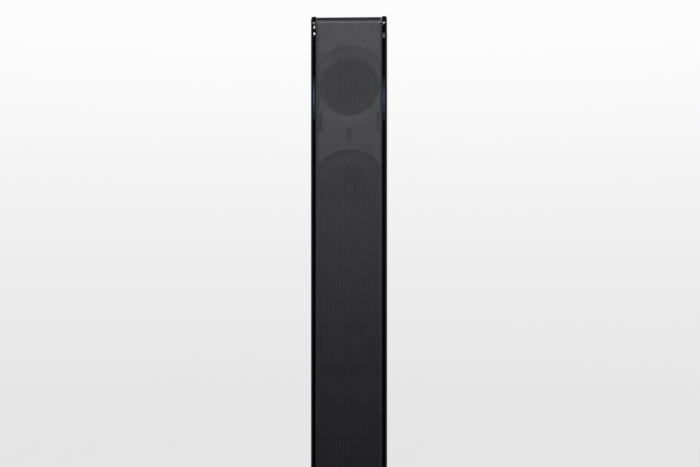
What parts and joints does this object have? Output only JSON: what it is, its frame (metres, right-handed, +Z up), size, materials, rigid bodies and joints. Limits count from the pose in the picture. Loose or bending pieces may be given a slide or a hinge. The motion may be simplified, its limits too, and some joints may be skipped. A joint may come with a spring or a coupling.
{
  "type": "floorstanding speaker",
  "caption": "Slim floor-standing loudspeaker: tall narrow column with glossy side rails, a wrap-over perforated grille, small cone drivers behind it and a flat weighted base.",
  "frame": {"origin": "on the floor under the middle of the base, which is also the middle of the column", "axes": "+Z up the column, +Y out of the rear panel, -Y out of the grille, +X to the viewer's right when facing the grille"},
  "size_m": [0.25, 0.26, 1.1],
  "materials": {
    "gloss_black": "piano gloss lacquer",
    "grille_paint": "satin dark grey powder coat",
    "black_plastic": "fine moulded grain",
    "trim_grey": "satin moulded grey",
    "black_board": "painted fibreboard, matt black",
    "raw_board": "bare fibreboard",
    "basket_paint": "semi-matt black coat",
    "base_steel": "zinc-plated sheet steel",
    "screw_black": "black oxide",
    "motor_steel": "zinc-plated",
    "ferrite": "ground ferrite",
    "cone_paper": "pressed pulp, dyed black",
    "cap_paper": "coated pulp",
    "coil_former": "former with enamelled copper winding",
    "surround_rubber": "butyl half roll",
    "spider_cloth": "resin-stiffened cotton",
    "rubber_black": "matt moulded rubber",
    "gold_brass": "gold-plated brass",
    "red_plastic": "clear red moulding",
    "knob_black": "black moulding",
    "circuit_board": "brown phenolic board",
    "copper_wire": "enamelled copper winding",
    "capacitor_film": "blue shrink sleeve",
    "resistor_ceramic": "white cement",
    "cable_jacket": "soft vinyl",
    "wadding": "polyester fibre fill"
  },
  "bodies": {
    "cabinet": {"base_plate": "base_steel", "base_cover": "gloss_black", "base_cover_screws": "screw_black", "foot_front_left": "rubber_black", "foot_front_right": "rubber_black", "foot_rear_left": "rubber_black", "foot_rear_right": "rubber_black", "plinth": "black_plastic", "column_bolts": "screw_black", "left_side_panel": "gloss_black", "right_side_panel": "gloss_black", "top_cap": "gloss_black", "bottom_board": "black_plastic", "front_baffle": "black_board", "rear_panel": "black_plastic", "rear_panel_screws": "screw_black", "cabinet_braces": "raw_board", "baffle_trim": "trim_grey", "grille_sockets": "rubber_black", "terminal_cup": "black_plastic", "terminal_cup_screws": "screw_black", "positive_post": "gold_brass", "negative_post": "gold_brass", "crossover_board": "circuit_board", "crossover_standoffs": "motor_steel", "crossover_coil": "copper_wire", "crossover_capacitors": "capacitor_film", "crossover_resistor": "resistor_ceramic", "input_leads": "cable_jacket", "upper_driver_lead": "cable_jacket", "lower_driver_lead": "cable_jacket", "upper_wadding": "wadding", "lower_wadding": "wadding", "upper_basket": "basket_paint", "upper_driver_screws": "screw_black", "upper_top_plate": "motor_steel", "upper_magnet": "ferrite", "upper_yoke": "motor_steel", "upper_surround": "surround_rubber", "upper_spider": "spider_cloth", "lower_basket": "basket_paint", "lower_driver_screws": "screw_black", "lower_top_plate": "motor_steel", "lower_magnet": "ferrite", "lower_yoke": "motor_steel", "lower_surround": "surround_rubber", "lower_spider": "spider_cloth"},
    "grille": {"grille_mesh": "grille_paint", "grille_frame": "black_plastic", "grille_centre_tongue": "black_plastic"},
    "upper_diaphragm": {"upper_cone": "cone_paper", "upper_dust_cap": "cap_paper", "upper_voice_coil": "coil_former"},
    "lower_diaphragm": {"lower_cone": "cone_paper", "lower_dust_cap": "cap_paper", "lower_voice_coil": "coil_former"},
    "positive_insert_ring": {"positive_insert": "gold_brass"},
    "positive_terminal_knob": {"positive_knob": "red_plastic"},
    "negative_insert_ring": {"negative_insert": "gold_brass"},
    "negative_terminal_knob": {"negative_knob": "knob_black"}
  },
  "joints": [
    {"name": "grille_pull_off", "type": "slide", "parent": "cabinet", "child": "grille", "axis": [0, -1, 0], "range_m": [0, 0.08]},
    {"name": "upper_cone_travel", "type": "slide", "parent": "cabinet", "child": "upper_diaphragm", "axis": [0, -1, 0], "range_m": [-0.0025, 0.0025], "stiffness_N_per_m": 500, "deforming": ["upper_surround", "upper_spider"]},
    {"name": "lower_cone_travel", "type": "slide", "parent": "cabinet", "child": "lower_diaphragm", "axis": [0, -1, 0], "range_m": [-0.0025, 0.0025], "stiffness_N_per_m": 500, "deforming": ["lower_surround", "lower_spider"]},
    {"name": "positive_knob_travel", "type": "slide", "parent": "cabinet", "child": "positive_insert_ring", "axis": [0, 1, 0], "range_m": [0, 0.004]},
    {"name": "positive_knob_turn", "type": "hinge", "parent": "positive_insert_ring", "child": "positive_terminal_knob", "pos_m": [0.0095, 0.05, 0.15], "axis": [0, 1, 0], "range_deg": [0, 1440]},
    {"name": "negative_knob_travel", "type": "slide", "parent": "cabinet", "child": "negative_insert_ring", "axis": [0, 1, 0], "range_m": [0, 0.004]},
    {"name": "negative_knob_turn", "type": "hinge", "parent": "negative_insert_ring", "child": "negative_terminal_knob", "pos_m": [-0.0095, 0.05, 0.15], "axis": [0, 1, 0], "range_deg": [0, 1440]}
  ],
  "couplings": [
    {"joint": "positive_knob_turn", "follows": "positive_knob_travel", "rad_per_m": 6283.2},
    {"joint": "negative_knob_turn", "follows": "negative_knob_travel", "rad_per_m": 6283.2}
  ]
}
